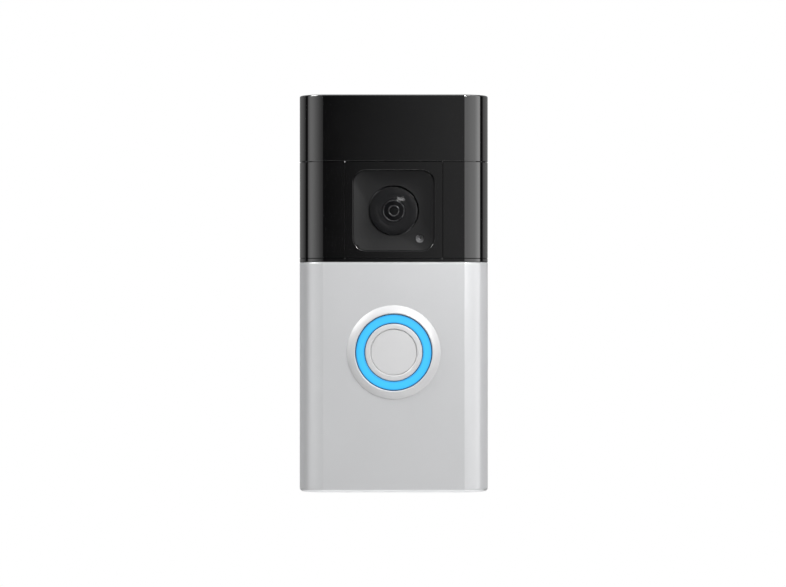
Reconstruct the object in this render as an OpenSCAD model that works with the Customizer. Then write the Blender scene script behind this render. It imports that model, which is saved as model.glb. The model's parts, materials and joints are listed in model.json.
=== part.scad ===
// Battery video doorbell: a sealed housing with camera, call button and electronics, a
// battery pack that slides out below, and a two-colour faceplate held by one screw.
// Millimetres. +Z is up, the front faces -Y, and the origin is the middle of the wall face.
// Inside the modules a point is [x, depth, z], where depth is the distance from the wall.

/* [Body] */
// Overall height
body_h = 128; // [128:0.1:128.4]
// Overall width
body_w = 61; // [61:0.1:61.6]
// Depth of the flat front, from the wall
front_d = 26.6; // [26.5:0.05:26.8]
// Depth of the covers' rear edge, from the wall
cover_back_d = 6.5; // [6.4:0.05:6.6]
// Radius of the long front corners
corner_r = 9.7; // [9.5:0.05:9.9]
// Wall thickness of the covers
wall = 1.6; // [1.4:0.05:1.6]
// Height of the seam under the top cover, from mid-height
seam_z = 42.5; // [42.4:0.05:42.6]
// Height of the joint between the black and the silver face, from mid-height
split_z = 10.1; // [9.6:0.05:10.4]
// Radius of the two bottom corners, seen from the front
foot_r = 1.2; // [0.6:0.1:2]

/* [Camera] */
// Width of the square camera insert
insert_w = 31.4; // [31:0.1:31.6]
// Height of the camera insert's lower edge, from mid-height
insert_z = 11.3; // [11.3:0.05:11.5]
// Width of the matte recess in the insert
recess_w = 26.5; // [26:0.1:27]
// Corner radius of the recess
recess_r = 4.2; // [3:0.1:5]
// Depth of the recess floor, from the wall
recess_d = 25.2; // [25:0.05:25.4]
// Radius of the domed lens window
window_r = 7.85; // [7.5:0.05:8]
// Position of the microphone hole, across and up from the lens axis
mic_at = [8.4, -9.0]; // [-12:0.1:12]

/* [Button] */
// Height of the button's axis, from mid-height
button_z = -18.9; // [-19.4:0.1:-18.4]
// Outer radius of the raised trim
trim_r = 15.1; // [14.6:0.1:15.6]
// Outer radius of the light halo
halo_r = 12.15; // [12:0.05:12.2]
// Radius of the button cap
cap_r = 9.2; // [9:0.05:9.25]
// Radius of the disc set into the cap
disc_r = 7.3; // [6.5:0.1:7.5]
// Travel of the button
button_travel = 0.7; // [0.4:0.05:0.7]

/* [Battery] */
// Width of the pack
pack_w = 43; // [42.6:0.1:43]
// Diameter of one cell
cell_d = 18.4; // [18.2:0.1:18.4]
// Length of one cell
cell_h = 65; // [64.5:0.1:65]
// Distance between the two cells' axes
cell_pitch = 18.7; // [18.6:0.1:18.8]

/* [Wall mount] */
// Radius of the four wall screw holes
wall_hole_r = 2.1; // [1.8:0.05:2.3]
// Distance between the wall screw holes, across
wall_pitch_x = 51.6; // [51:0.1:52]
// Distance between the wall screw holes, up
wall_pitch_z = 78; // [74:0.5:80]
// Height of the wall screw holes' centre, from mid-height
wall_mid_z = -17; // [-18:0.5:-16]

/* [Hidden] */
$fn = 64;

SIDES = [-1, 1];
gap = 0.2;             // seam between two covers
cut = 1;               // how far a cutting shape runs past a face
half_w = body_w / 2;
top_z = body_h / 2;
bottom_z = -body_h / 2;

// The long front corners are arcs that the flat front cuts off just below their crests
crest = 0.2;
corner_x = half_w - corner_r;
corner_d = front_d + crest - corner_r;
face_in_d = front_d - wall;         // inner face of the covers' front wall

// Base tray of the housing, and the channels beside its core
base_half = half_w - 0.5;
base_h = body_h - 1;
base_front = cover_back_d - gap;
channel_d = 3;
channel_out = 28.2;
channel_z = [-61.4, 52];

// Core box of the housing: electronics above, battery bay below
core_half = 23.2;
core_wall = 1.4;
core_in = core_half - core_wall;
core_front = 22.2;
core_z = [-61.4, 61];
core_back = 2.4;
bay_back = 1.6;
bay_top = 8.4;
deck_z = 9.8;                       // upper face of the wall above the battery bay
frame_front = core_front + 1.2;

// Ears of the front frame and the posts they are screwed to
ear_x = 25.5;
ear_heights = [36, -8, -40];
ear_d = 15;
ear_t = 1.2;
ear_web = 0.7;
ear_half = 3;
ear_head_r = 1.45;
post_r = 2.5;
self_tap_r = 1.1;
pilot_r = 1.15;

// Screws that hold the top cover from behind
cover_screw_x = 26;
cover_screw_z = 57;
cover_post_r = 2.4;
cover_head = [2.2, 0.5, 2.2];       // radius, outer depth, inner depth
cover_screw_end = 13;

// Camera axis and insert
insert_h = seam_z - 0.2 - insert_z;
insert_mid_z = insert_z + insert_h / 2;
lens_z = insert_mid_z - 0.1;
mic_x = mic_at[0];
mic_z = lens_z + mic_at[1];
bezel_back = frame_front + 0.1;
camera_board_d = [13.4, 14.2];
camera_board_half = [13, 9.5];
camera_post_at = [10.5, 7];
led_at = [10.6, 2.6];
led_w = 3;
barrel_r = 5.2;

// Motion sensor, above the camera
pir_z = 52;
pir_r = 4.6;

// Main board
board_d = [10, 11.2];

// Terminals for the bell wires, in a pocket of the rear face
pocket_half = 13;
pocket_z = [18, 32];
pocket_d = 7;
pocket_wall = 1.2;
terminal_x = 7;
terminal_z = 25;
terminal_screw_r = 1.25;
terminal_clear = 0.07;
terminal_head = [2.7, 0.7, 1.6];    // radius, outer depth, inner depth
terminal_clamp_d = [1.6, 2];
terminal_plate_d = [2.3, 3.1];
terminal_tip_d = 6.4;

// Security screw, and the fork of the faceplate's lip that it clamps
screw_d = 21.5;
screw_r = 1;
screw_clear = 0.05;
screw_head_r = 2.1;
screw_head_z = [-63.9, -63.1];
screw_washer_z = [-63.1, -62.8];
screw_tip_z = -55.5;
boss_r = 2.6;
boss_z = [-61.5, -53];
insert_metal_r = 1.8;
insert_metal_z = [-61.5, -56.5];
lip_top_z = -61.8;
fork_z = -62.5;                     // lower face of the fork
fork_back = 19.4;
fork_slot = 1.2;
lip_front = 22.5;
lip_open = 22;

// Battery pack, with a V groove down its front that clears the screw and its boss
pack_half = pack_w / 2;
pack_d = [1.9, 22];
pack_z = [-61.6, 8];
pack_cap_z = -63.6;
cell_mid_d = (pack_d[0] + pack_d[1]) / 2 - 0.05;
cell_z = -60;
cell_clear = 0.1;
strap_t = 0.2;
groove = [[5, 22], [2.4, 19], [1.5, 18.4]];   // half-width and depth along its side
contact_xs = [-6, -2, 2, 6];
contact_d = 11.5;

// Latch lever, in a pocket at the pack's front
latch_x = [16, 20.6];
latch_z = [-61.3, -49.6];
latch_d = [20.2, 21.7];
latch_pivot = [20.9, -51];          // depth and height of the pivot
latch_pin_r = 0.5;
latch_pocket_back = 19.2;

// Call button stack on the front frame
panel_board_d = [frame_front, frame_front + 0.8];
board_r = 11.5;
switch_top = 25.05;
seal_top = 25;
cap_d = [25.9, 27.5];
guide_in_r = cap_r + 0.2;
guide_d = [24.9, 27.4];
guide_led_r = (guide_in_r + halo_r) / 2;
trim_in_r = halo_r + 0.25;
trim_neck_r = 13.4;
trim_d = 28;

// Ribbon cable
flex_half = 2.6;
flex_bend_z = 10.3;

// Setup button in the right wall of the core
setup_d = 14.2;
setup_z = 30;
setup_r = 1.5;

// Speaker against the left wall of the core
speaker_x = [-21.6, -17.2];
speaker_d = [4, 18];
speaker_z = [38, 58];
speaker_mid = [11, 48];
cone_r = 6.2;

// ---- helpers ----

// Box between two opposite corners
module block(lo, hi) {
    translate([lo[0], -hi[1], lo[2]])
        cube([hi[0] - lo[0], hi[1] - lo[1], hi[2] - lo[2]]);
}

// Cylinder or cone along the depth axis, from depth d0 (radius r0) to d1 (radius r1)
module rod_d(r0, x, z, d0, d1, r1 = -1) {
    translate([x, -d0, z]) rotate([90, 0, 0])
        cylinder(r1 = r0, r2 = r1 < 0 ? r0 : r1, h = d1 - d0);
}

// Cylinder up the Z axis
module rod_z(r, x, d, z0, z1) {
    translate([x, -d, z0]) cylinder(r = r, h = z1 - z0);
}

// Cylinder across the X axis
module rod_x(r, d, z, x0, x1) {
    translate([x0, -d, z]) rotate([0, 90, 0]) cylinder(r = r, h = x1 - x0);
}

// Washer shape along the depth axis
module annulus_d(r_out, r_in, x, z, d0, d1) {
    difference() {
        rod_d(r_out, x, z, d0, d1);
        rod_d(r_in, x, z, d0 - cut, d1 + cut);
    }
}

// Outline in x and depth, raised from z0 to z1
module prism_z(z0, z1) {
    translate([0, 0, z0]) mirror([0, 1, 0]) linear_extrude(z1 - z0) children();
}

// Outline in x and z, carried from depth d0 to d1
module prism_d(d0, d1) {
    translate([0, -d0, 0]) rotate([90, 0, 0]) linear_extrude(d1 - d0) children();
}

// Outline in radius and depth, turned about the depth axis through x, z
module lathe_d(x, z) {
    translate([x, 0, z]) rotate([90, 0, 0]) rotate_extrude() children();
}

// Rectangle with round corners, centred
module rounded(w, h, r) {
    square([w - 2 * r, h], center = true);
    square([w, h - 2 * r], center = true);
    for (x = SIDES, y = SIDES)
        translate([x * (w / 2 - r), y * (h / 2 - r)]) circle(r = r);
}

// Cross-section of the covers in x and depth, inset from the outer surface
module section(inset, back) {
    intersection() {
        union() {
            translate([-corner_x, back]) square([2 * corner_x, front_d - inset - back]);
            translate([inset - half_w, back]) square([2 * (half_w - inset), corner_d - back]);
            for (s = SIDES)
                translate([s * corner_x, corner_d]) circle(r = corner_r - inset);
        }
        translate([-half_w, back]) square([body_w, front_d - inset - back]);
    }
}

// Straight stretch of the covers between two heights, open behind
module cover_wall(z0, z1) {
    difference() {
        prism_z(z0, z1) section(0, cover_back_d);
        prism_z(z0 - cut, z1 + cut) section(wall, cover_back_d - cut);
    }
}

// Front outline of the whole body in x and z
module front_outline() {
    rounded(body_w, body_h, foot_r);
}

// ---- housing ----

module rear_housing() {
    color("#1b1b1d") difference() {
        union() {
            difference() {
                housing_body();
                block([-core_in, core_back, deck_z],
                      [core_in, core_front + cut, core_z[1] - core_wall]);
            }
            block([-pocket_half - pocket_wall, 0, pocket_z[0] - pocket_wall],
                  [pocket_half + pocket_wall, pocket_d + pocket_wall, pocket_z[1] + pocket_wall]);
            board_posts();
        }
        block([-core_in, bay_back, bottom_z - cut], [core_in, core_front + cut, bay_top]);
        block([-pocket_half, -cut, pocket_z[0]], [pocket_half, pocket_d, pocket_z[1]]);
        block([-pocket_wall, pocket_d - cut, pocket_z[0] + 2],
              [pocket_wall, pocket_d + pocket_wall + cut, pocket_z[0] + 4]);
        seal_path(core_front - 0.6, core_front + cut, 0.8);
        block([-9.1, 7.9, bay_top - cut], [9.1, 15.1, deck_z + cut]);
        for (i = [0:4])
            block([-core_half - cut, 6, 40.2 + 3.6 * i], [-core_in + cut, 16, 41.8 + 3.6 * i]);
        rod_x(setup_r + 0.15, setup_d, setup_z, core_in - cut, core_half + cut);
        for (s = SIDES, z = ear_heights) rod_d(pilot_r, s * ear_x, z, 5, ear_d + cut);
        for (s = SIDES) cover_screw_cut(s * cover_screw_x);
        for (s = SIDES, t = SIDES)
            rod_d(wall_hole_r, s * wall_pitch_x / 2, wall_mid_z + t * wall_pitch_z / 2,
                  -cut, base_front);
    }
}

// Base tray with its side channels, the core box and the posts for the frame's ears
module housing_body() {
    difference() {
        prism_d(0, base_front) rounded(2 * base_half, base_h, foot_r);
        for (s = SIDES) mirror([s > 0 ? 0 : 1, 0, 0])
            block([core_half, channel_d, channel_z[0]],
                  [channel_out, base_front + cut, channel_z[1]]);
    }
    block([-core_half, 0, core_z[0]], [core_half, core_front, core_z[1]]);
    for (s = SIDES, z = ear_heights) rod_d(post_r, s * ear_x, z, 0, ear_d);
}

// Posts behind the main board
module board_posts() {
    for (s = SIDES) rod_d(1.8, s * 18, 14, core_back - cut, board_d[0]);
    rod_d(1.8, 18, 56.5, core_back - cut, board_d[0]);
}

module cover_screw_cut(x) {
    rod_d(self_tap_r + 0.3, x, cover_screw_z, -cut, base_front + cut);
    rod_d(cover_head[0] + 0.3, x, cover_screw_z, -cut, cover_head[2]);
}

// Closed rectangular band around the electronics bay, on the core's front rim
module seal_path(d0, d1, width) {
    mid = core_half - core_wall / 2;
    low = (bay_top + deck_z) / 2;
    high = core_z[1] - core_wall / 2;
    difference() {
        block([-mid - width / 2, d0, low - width / 2], [mid + width / 2, d1, high + width / 2]);
        block([width / 2 - mid, d0 - cut, low + width / 2],
              [mid - width / 2, d1 + cut, high - width / 2]);
    }
}

module main_seal() {
    color("#4a4a4c") seal_path(core_front - 0.6, core_front, 0.7);
}

module front_frame() {
    color("#202022") difference() {
        union() {
            block([-core_half, core_front, core_z[0]], [core_half, frame_front, core_z[1]]);
            for (s = SIDES, z = ear_heights) mirror([s > 0 ? 0 : 1, 0, 0]) frame_ear(z);
            rod_z(boss_r, 0, screw_d, boss_z[0], boss_z[1]);
            for (s = SIDES, t = SIDES)
                rod_d(1.6, s * camera_post_at[0], lens_z + t * camera_post_at[1],
                      camera_board_d[1], core_front + 0.5);
        }
        rod_d(8.6, 0, lens_z, core_front - cut, frame_front + cut);
        rod_d(pir_r + 0.9, 0, pir_z, core_front - cut, frame_front + cut);
        block([mic_x - 2.1, core_front - cut, mic_z - 1.8],
              [mic_x + 2.1, frame_front + cut, mic_z + 1.8]);
        block([-flex_half - 0.3, core_front - cut, flex_bend_z - 0.3],
              [flex_half + 0.3, frame_front + cut, flex_bend_z + 0.6]);
        difference() {
            block([latch_x[0] - 1.2, core_front - cut, core_z[0] - cut],
                  [latch_x[1] + 0.6, frame_front + cut, latch_z[1] + 1]);
            block([latch_x[0] - 2, core_front - 2, -58.6], [latch_x[1] + 2, frame_front, -57.4]);
        }
        rod_z(insert_metal_r + 0.02, 0, screw_d, boss_z[0] - cut, insert_metal_z[1]);
        rod_z(screw_r + 0.2, 0, screw_d, boss_z[0], screw_tip_z + cut);
    }
}

// Screw ear on the right side of the front frame
module frame_ear(z) {
    inner = core_half + 0.1;
    difference() {
        union() {
            block([core_half - cut, core_front, z - ear_half],
                  [inner + ear_web, frame_front, z + ear_half]);
            block([inner, ear_d, z - ear_half], [inner + ear_web, frame_front, z + ear_half]);
            block([inner, ear_d, z - ear_half], [ear_x + 2.2, ear_d + ear_t, z + ear_half]);
        }
        rod_d(self_tap_r + 0.2, ear_x, z, ear_d - cut, ear_d + ear_t + cut);
    }
}

// Cross-recess of a small screw head whose face is at depth d, cut towards the tip
module cross_recess(x, z, d0, d1) {
    block([x - 1, d0, z - 0.22], [x + 1, d1, z + 0.22]);
    block([x - 0.22, d0, z - 1], [x + 0.22, d1, z + 1]);
}

module chassis_screws() {
    head_d = ear_d + ear_t;
    color("#9a9a9c") for (s = SIDES, z = ear_heights) difference() {
        union() {
            rod_d(self_tap_r, s * ear_x, z, 7, head_d + 0.1);
            rod_d(ear_head_r, s * ear_x, z, head_d, head_d + 1.2);
        }
        cross_recess(s * ear_x, z, head_d + 0.6, head_d + 2);
    }
}

module cover_screws() {
    color("#9a9a9c") for (s = SIDES) difference() {
        union() {
            rod_d(cover_head[0], s * cover_screw_x, cover_screw_z, cover_head[1], cover_head[2]);
            rod_d(self_tap_r, s * cover_screw_x, cover_screw_z, cover_head[2] - 0.1,
                  cover_screw_end);
        }
        cross_recess(s * cover_screw_x, cover_screw_z, 0, cover_head[1] + 0.7);
    }
}

module top_cover() {
    z0 = seam_z + gap / 2;
    color("#0c0c0e") difference() {
        union() {
            cover_wall(z0, top_z - wall);
            prism_z(top_z - wall, top_z) section(0, cover_back_d);
            for (s = SIDES)
                rod_d(cover_post_r, s * cover_screw_x, cover_screw_z, base_front, corner_d + 3);
        }
        for (s = SIDES)
            rod_d(pilot_r, s * cover_screw_x, cover_screw_z, base_front - cut,
                  cover_screw_end + 0.5);
    }
}

// ---- camera ----

module camera_surround() {
    color("#0a0a0b") prism_d(frame_front, front_d) translate([0, insert_mid_z]) difference() {
        rounded(insert_w, insert_h, 0.5);
        translate([0, lens_z - insert_mid_z]) rounded(recess_w, recess_w - 0.2, recess_r);
    }
}

module camera_bezel() {
    slack = 0.2;
    color("#2b2b2d") difference() {
        prism_d(bezel_back, recess_d) translate([0, lens_z])
            rounded(recess_w - slack, recess_w - 0.2 - slack, recess_r - slack / 2);
        rod_d(window_r + 0.1, 0, lens_z, bezel_back - cut, recess_d + cut);
        rod_d(0.6, mic_x, mic_z, bezel_back - cut, recess_d + cut);
        rod_d(0.6, mic_x, mic_z, recess_d - 0.75, recess_d + 0.01, 1.36);
        for (s = SIDES, t = SIDES)
            block([s * led_at[0] - 1.6, bezel_back - cut, lens_z + t * led_at[1] - 1.6],
                  [s * led_at[0] + 1.6, bezel_back + 1, lens_z + t * led_at[1] + 1.6]);
    }
}

// Domed window in front of the lens
module lens_window() {
    dome_r = 30;
    crown_d = 26.3;
    color("#101216") intersection() {
        rod_d(window_r, 0, lens_z, 24.4, 27);
        translate([0, dome_r - crown_d, lens_z]) sphere(r = dome_r, $fn = 240);
    }
}

module lens_barrel() {
    color("#161618") difference() {
        rod_d(barrel_r, 0, lens_z, 16.5, 24);
        rod_d(3.7, 0, lens_z, 20, 24 + cut);
        rod_d(2.2, 0, lens_z, 16.5 - cut, 20 + cut);
    }
}

module front_element() {
    dome_r = 7;
    crown_d = 23.8;
    color("#20304a") intersection() {
        rod_d(3.6, 0, lens_z, 21.7, 24);
        translate([0, dome_r - crown_d, lens_z]) sphere(r = dome_r);
    }
}

module rear_element() {
    color("#2a3c50") rod_d(2.1, 0, lens_z, 17.8, 19.4);
}

module lens_holder() {
    half = 6;
    color("#1d1d1f") difference() {
        block([-half, camera_board_d[1], lens_z - half], [half, 18, lens_z + half]);
        rod_d(barrel_r + 0.05, 0, lens_z, 16.2, 18 + cut);
        block([-4, camera_board_d[1] - cut, lens_z - 4], [4, 16, lens_z + 4]);
        rod_d(3.4, 0, lens_z, 16 - cut, 18);
    }
}

module ir_filter() {
    color("#7fb0c8") block([-3.6, 15.4, lens_z - 3.6], [3.6, 15.8, lens_z + 3.6]);
}

module image_sensor() {
    color("#33363c")
        block([-3.4, camera_board_d[1], lens_z - 3], [3.4, camera_board_d[1] + 0.9, lens_z + 3]);
}

module camera_board() {
    color("#1f5a3a")
        block([-camera_board_half[0], camera_board_d[0], lens_z - camera_board_half[1]],
              [camera_board_half[0], camera_board_d[1], lens_z + camera_board_half[1]]);
}

module ir_leds() {
    color("#d8d4c8") for (s = SIDES, t = SIDES)
        block([s * led_at[0] - led_w / 2, frame_front, lens_z + t * led_at[1] - led_w / 2],
              [s * led_at[0] + led_w / 2, frame_front + 1, lens_z + t * led_at[1] + led_w / 2]);
}

module microphone() {
    color("#b9b6a8") difference() {
        block([mic_x - 1.8, 22.3, mic_z - 1.4], [mic_x + 1.8, 23.3, mic_z + 1.4]);
        rod_d(0.4, mic_x, mic_z, 22.9, 23.3 + cut);
    }
}

// ---- electronics ----

module pir_sensor() {
    lead_r = 1.8;
    color("#b8b8ba") {
        rod_d(pir_r, 0, pir_z, 17, 17.6);
        rod_d(pir_r - 0.5, 0, pir_z, 17.5, 21.5);
        for (a = [0:120:240])
            rod_d(0.25, lead_r * cos(a), pir_z + lead_r * sin(a), board_d[1], 17.1);
    }
}

module pir_lens() {
    color("#d9d9dc") translate([0, 0, pir_z]) prism_d(frame_front, frame_front + 1.2)
        rounded(20, 12, 2);
}

module main_board() {
    color("#1c5136") {
        block([-20.5, board_d[0], 11], [20.5, board_d[1], 36]);
        block([-15.5, board_d[0], 35.9], [20.5, board_d[1], 58.8]);
    }
}

module shield_can() {
    color("#bdbdbf") difference() {
        block([-8, 8.3, 37.5], [14, board_d[0], 53]);
        block([-7.7, 8.6, 37.8], [13.7, board_d[0] + cut, 52.7]);
    }
}

module wifi_module() {
    color("#c4c4c6") block([7, board_d[1], 42], [19, board_d[1] + 2, 56]);
}

module antenna() {
    color("#c9a24a") {
        block([-14, board_d[1], 54], [-13.5, 15, 58]);
        block([-14, 14.6, 46], [-8, 15, 58]);
    }
}

module speaker_frame() {
    color("#26262a") difference() {
        block([speaker_x[0], speaker_d[0], speaker_z[0]], [speaker_x[1], speaker_d[1], speaker_z[1]]);
        rod_x(cone_r + 0.2, speaker_mid[0], speaker_mid[1], speaker_x[0] - cut, speaker_x[1] - 1);
        rod_x(4, speaker_mid[0], speaker_mid[1], speaker_x[0], speaker_x[1] + cut);
    }
}

module speaker_cone() {
    color("#3a3a40") difference() {
        rod_x(cone_r, speaker_mid[0], speaker_mid[1], speaker_x[0] + 0.4, speaker_x[0] + 1.4);
        translate([speaker_x[0] - 9.2, -speaker_mid[0], speaker_mid[1]]) sphere(r = 10);
    }
}

module speaker_magnet() {
    color("#8d8d90") rod_x(3.9, speaker_mid[0], speaker_mid[1], speaker_x[1] - 1.6, speaker_x[1] + 1.4);
}

module battery_connector() {
    color("#111113") difference() {
        union() {
            block([-9, 8, 8.7], [9, 15, 10.2]);
            block([-9, 8, 10.1], [9, board_d[0], 13]);
        }
        for (x = contact_xs) rod_z(0.52, x, contact_d, 8.7 - cut, 9.8);
    }
}

module contact_pins() {
    color("#d4af37") for (x = contact_xs) rod_z(0.5, x, contact_d, 8.25, 9.7);
}

module terminal_block() {
    slack = 0.2;
    color("#2a2a2c") difference() {
        block([slack - pocket_half, terminal_plate_d[0], pocket_z[0] + slack],
              [pocket_half - slack, pocket_d - 0.1, pocket_z[1] - slack]);
        for (s = SIDES) {
            block([s * terminal_x - 4.6, terminal_plate_d[0] - cut, terminal_z - 5.1],
                  [s * terminal_x + 4.6, terminal_plate_d[1], terminal_z + 5.1]);
            rod_d(terminal_screw_r + 0.15, s * terminal_x, terminal_z, terminal_plate_d[0],
                  terminal_tip_d + 0.2);
        }
    }
}

module terminal_plates() {
    color("#c8a24a") for (s = SIDES) difference() {
        block([s * terminal_x - 4.5, terminal_plate_d[0], terminal_z - 5],
              [s * terminal_x + 4.5, terminal_plate_d[1], terminal_z + 5]);
        rod_d(terminal_screw_r + terminal_clear, s * terminal_x, terminal_z, 0, 8);
    }
}

module terminal_clamp(x) {
    color("#b0b0b2") difference() {
        block([x - 3, terminal_clamp_d[0], terminal_z - 3], [x + 3, terminal_clamp_d[1], terminal_z + 3]);
        rod_d(terminal_screw_r + terminal_clear, x, terminal_z, 0, 8);
    }
}

module terminal_screw(x) {
    color("#a6a6a8") difference() {
        union() {
            rod_d(terminal_head[0], x, terminal_z, terminal_head[1], terminal_head[2]);
            rod_d(terminal_screw_r, x, terminal_z, terminal_head[2] - 0.1, terminal_tip_d);
        }
        cross_recess(x, terminal_z, 0, terminal_head[1] + 0.5);
    }
}

module terminal_clamp_left() {
    terminal_clamp(-terminal_x);
}

module terminal_screw_left() {
    terminal_screw(-terminal_x);
}

module terminal_clamp_right() {
    terminal_clamp(terminal_x);
}

module terminal_screw_right() {
    terminal_screw(terminal_x);
}

// ---- call button ----

module button_board() {
    color("#1f5a3a") rod_d(board_r, 0, button_z, panel_board_d[0], panel_board_d[1]);
}

module tact_switch() {
    color("#c9c9cb") {
        block([-2.2, panel_board_d[1], button_z - 2.2], [2.2, switch_top - 0.2, button_z + 2.2]);
        rod_d(0.9, 0, button_z, switch_top - 0.3, switch_top);
    }
}

module button_leds() {
    color("#f2f2ee") for (a = [22.5:45:359]) translate([0, 0, button_z]) rotate([0, a, 0])
        block([guide_led_r - 0.8, panel_board_d[1], -0.8],
              [guide_led_r + 0.8, panel_board_d[1] + 0.6, 0.8]);
}

// Diffusing halo around the button, on four legs
module light_guide() {
    leg_t = 0.5;
    color("#39bdf2") {
        annulus_d(halo_r, guide_in_r, 0, button_z, guide_d[0], guide_d[1]);
        intersection() {
            annulus_d(halo_r, halo_r - leg_t, 0, button_z, frame_front, guide_d[0] + 0.1);
            for (a = [45:90:315]) translate([0, 0, button_z]) rotate([0, a, 0])
                block([board_r, frame_front, -2], [halo_r + cut, guide_d[0] + 0.1, 2]);
        }
    }
}

module button_seal() {
    color("#6e6e70") annulus_d(guide_in_r - 0.1, 7.6, 0, button_z, panel_board_d[1], seal_top);
}

module button_cap() {
    color("#d2d3d6") difference() {
        union() {
            rod_d(cap_r, 0, button_z, cap_d[0], cap_d[1]);
            rod_d(1.2, 0, button_z, cap_d[0] - 0.1, cap_d[0] + 0.1);
        }
        rod_d(disc_r + 0.1, 0, button_z, cap_d[0] + 0.7, cap_d[1] + cut);
    }
}

module button_disc() {
    color("#c4c5c8") rod_d(disc_r, 0, button_z, cap_d[0] + 0.7, cap_d[1] - 0.15);
}

// Ribbon from the button board, up the frame and through its slot to the main board
module flex_cable() {
    t = 0.2;
    low = button_z + board_r;
    on_board = panel_board_d[1];
    color("#b5651d") {
        block([-flex_half, on_board, low - 1.6], [flex_half, on_board + t, low + t]);
        block([-flex_half, frame_front, low], [flex_half, on_board + t, low + t]);
        block([-flex_half, frame_front, low], [flex_half, frame_front + t, flex_bend_z + t]);
        block([-flex_half, board_d[1], flex_bend_z], [flex_half, frame_front + t, flex_bend_z + t]);
        block([-flex_half, board_d[1], flex_bend_z], [flex_half, board_d[1] + t, 14]);
    }
}

module setup_switch() {
    color("#8a8a8c") {
        block([16.6, board_d[1], setup_z - 2], [19.4, setup_d + 1.4, setup_z + 2]);
        rod_x(0.8, setup_d, setup_z, 19.3, 19.9);
    }
}

module setup_button() {
    color("#e07a1f") {
        rod_x(setup_r, setup_d, setup_z, 20.6, core_half + 0.8);
        rod_x(setup_r + 0.7, setup_d, setup_z, 20.6, 21.4);
    }
}

// ---- faceplate ----

module faceplate_upper() {
    notch = insert_w / 2 + 0.15;
    z1 = seam_z - gap / 2;
    hook_x = [17, 20.5];
    color("#0c0c0e") {
        difference() {
            cover_wall(split_z, z1);
            block([-notch, 20, insert_z - 0.15], [notch, front_d + cut, z1 + cut]);
        }
        block([-corner_x, face_in_d - 1, split_z - 6], [corner_x, face_in_d, insert_z - 0.3]);
        for (s = SIDES) mirror([s > 0 ? 0 : 1, 0, 0]) {
            block([hook_x[0], face_in_d - 1, 37], [hook_x[1], face_in_d, z1]);
            block([hook_x[0], face_in_d - 1, 37], [hook_x[1], face_in_d - 0.3, z1 + 1.5]);
        }
        seam_lap(z1, notch);
    }
}

// Thin lip behind the seam, clear of the camera insert, so that the seam shows no light
module seam_lap(z1, notch) {
    play = 0.12;
    foot = 1.5;
    rise = 1.1;
    thick = 0.58;
    difference() {
        union() {
            prism_z(z1 - foot, z1) section(wall - 0.05, cover_back_d);
            prism_z(z1 - foot, z1 + rise) section(wall + play, cover_back_d);
        }
        prism_z(z1 - foot - cut, z1 + rise + cut) section(wall + play + thick, cover_back_d - cut);
        block([-notch, face_in_d - 2, z1 - foot - cut], [notch, front_d, z1 + rise + cut]);
    }
}

module faceplate_lower() {
    color("#c6c7cb") intersection() {
        difference() {
            union() {
                cover_wall(bottom_z, split_z);
                lip();
            }
            rod_d(trim_neck_r + 0.1, 0, button_z, face_in_d - cut, front_d + cut);
            rod_z(screw_head_r + 0.4, 0, screw_d, bottom_z - cut, fork_z);
            block([-screw_head_r - 0.4, lip_front - 8, bottom_z - cut],
                  [screw_head_r + 0.4, screw_d, fork_z]);
        }
        prism_d(0, front_d + cut) front_outline();
    }
}

// Bottom edge of the faceplate: a front strip, two side strips and the screw's fork
module lip() {
    difference() {
        prism_z(bottom_z, lip_top_z) section(0, cover_back_d);
        block([-lip_open, cover_back_d - cut, bottom_z - cut], [lip_open, lip_front, lip_top_z + cut]);
    }
    prism_z(fork_z, lip_top_z) difference() {
        polygon([[-2.4, fork_back], [2.4, fork_back], [4.6, pack_d[1]], [4.6, lip_front + 0.1],
                 [-4.6, lip_front + 0.1], [-4.6, pack_d[1]]]);
        translate([-fork_slot, fork_back - cut]) square([2 * fork_slot, screw_d - fork_back + cut]);
        translate([0, screw_d]) circle(r = fork_slot);
    }
}

// Raised metal trim around the halo, with a sloping outer face
module button_trim() {
    color("#cdced1") lathe_d(0, button_z) polygon([
        [trim_in_r, face_in_d], [trim_neck_r, face_in_d], [trim_neck_r, front_d],
        [trim_r, front_d], [trim_r, front_d + 0.3], [trim_in_r + 0.9, trim_d],
        [trim_in_r + 0.2, trim_d], [trim_in_r, trim_d - 0.2]]);
}

// ---- battery ----

// Outline of the pack in x and depth, with its V groove
module pack_section() {
    difference() {
        translate([0, (pack_d[0] + pack_d[1]) / 2])
            rounded(pack_w, pack_d[1] - pack_d[0], 1.5);
        polygon([[-groove[0][0] - 1, pack_d[1] + 1.15], [-groove[1][0], groove[1][1]],
                 [-groove[2][0], groove[2][1]], [groove[2][0], groove[2][1]],
                 [groove[1][0], groove[1][1]], [groove[0][0] + 1, pack_d[1] + 1.15]]);
    }
}

module battery_case() {
    bore_r = cell_d / 2 + cell_clear;
    roof = 1.2;
    color("#151517") difference() {
        prism_z(pack_z[0], pack_z[1]) pack_section();
        for (s = SIDES)
            rod_z(bore_r, s * cell_pitch / 2, cell_mid_d, cell_z - 0.4, cell_z + cell_h + 0.4);
        block([-3, 6, cell_z - 0.4], [3, 17.4, pack_z[1] - roof]);
        block([-17.6, 4.5, cell_z + cell_h + 0.3], [17.6, 17.4, pack_z[1] - roof]);
        for (x = contact_xs)
            block([x - 1.1, contact_d - 2.1, pack_z[1] - roof - cut],
                  [x + 1.1, contact_d + 2.1, pack_z[1] + cut]);
        block([11, 8.5, pack_z[1] - roof - cut], [17, 14.5, pack_z[1] + cut]);
        block([latch_x[0] - 0.2, latch_pocket_back, pack_z[0] - cut],
              [latch_x[1] + 0.2, pack_d[1] + cut, latch_z[1] + 0.4]);
        rod_x(latch_pin_r + 0.06, latch_pivot[0], latch_pivot[1], latch_x[0] - 1, latch_x[1] + 0.6);
    }
}

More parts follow.
